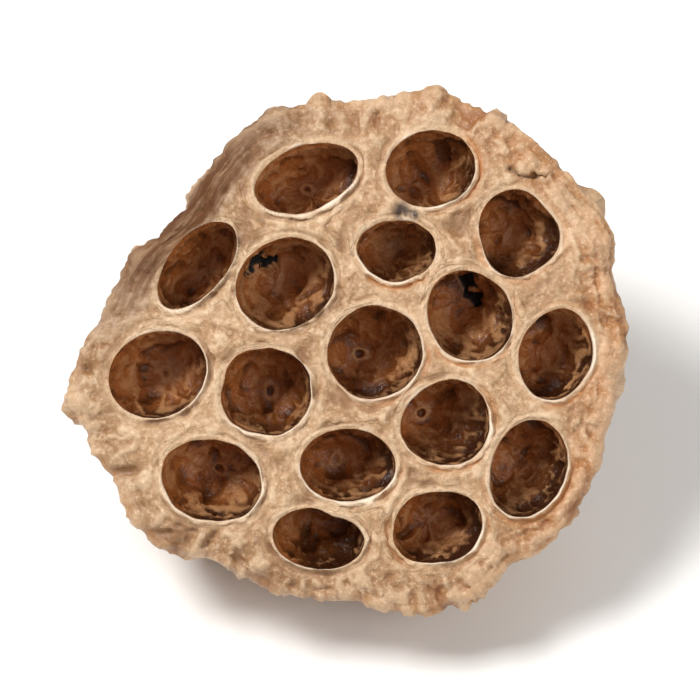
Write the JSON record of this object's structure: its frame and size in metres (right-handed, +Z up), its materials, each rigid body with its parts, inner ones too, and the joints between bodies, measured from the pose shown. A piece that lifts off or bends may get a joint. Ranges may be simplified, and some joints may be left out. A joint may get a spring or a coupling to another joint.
{
  "type": "dried lotus pod",
  "caption": "Dried lotus seed pod: a ribbed bowl with a puckered rim, a face of empty lipped seed chambers and a short cut stem, lying on its belly as a decoration.",
  "frame": {"origin": "middle of the flat spot of the belly that the pod lies on", "axes": "+Z up; the face looks towards -Y and upwards, about 54 degrees above level; +X runs across the face"},
  "size_m": [0.0737, 0.0618, 0.0519],
  "materials": {
    "husk": "satin"
  },
  "bodies": {
    "root": {"lotus_pod": "husk"}
  },
  "joints": []
}
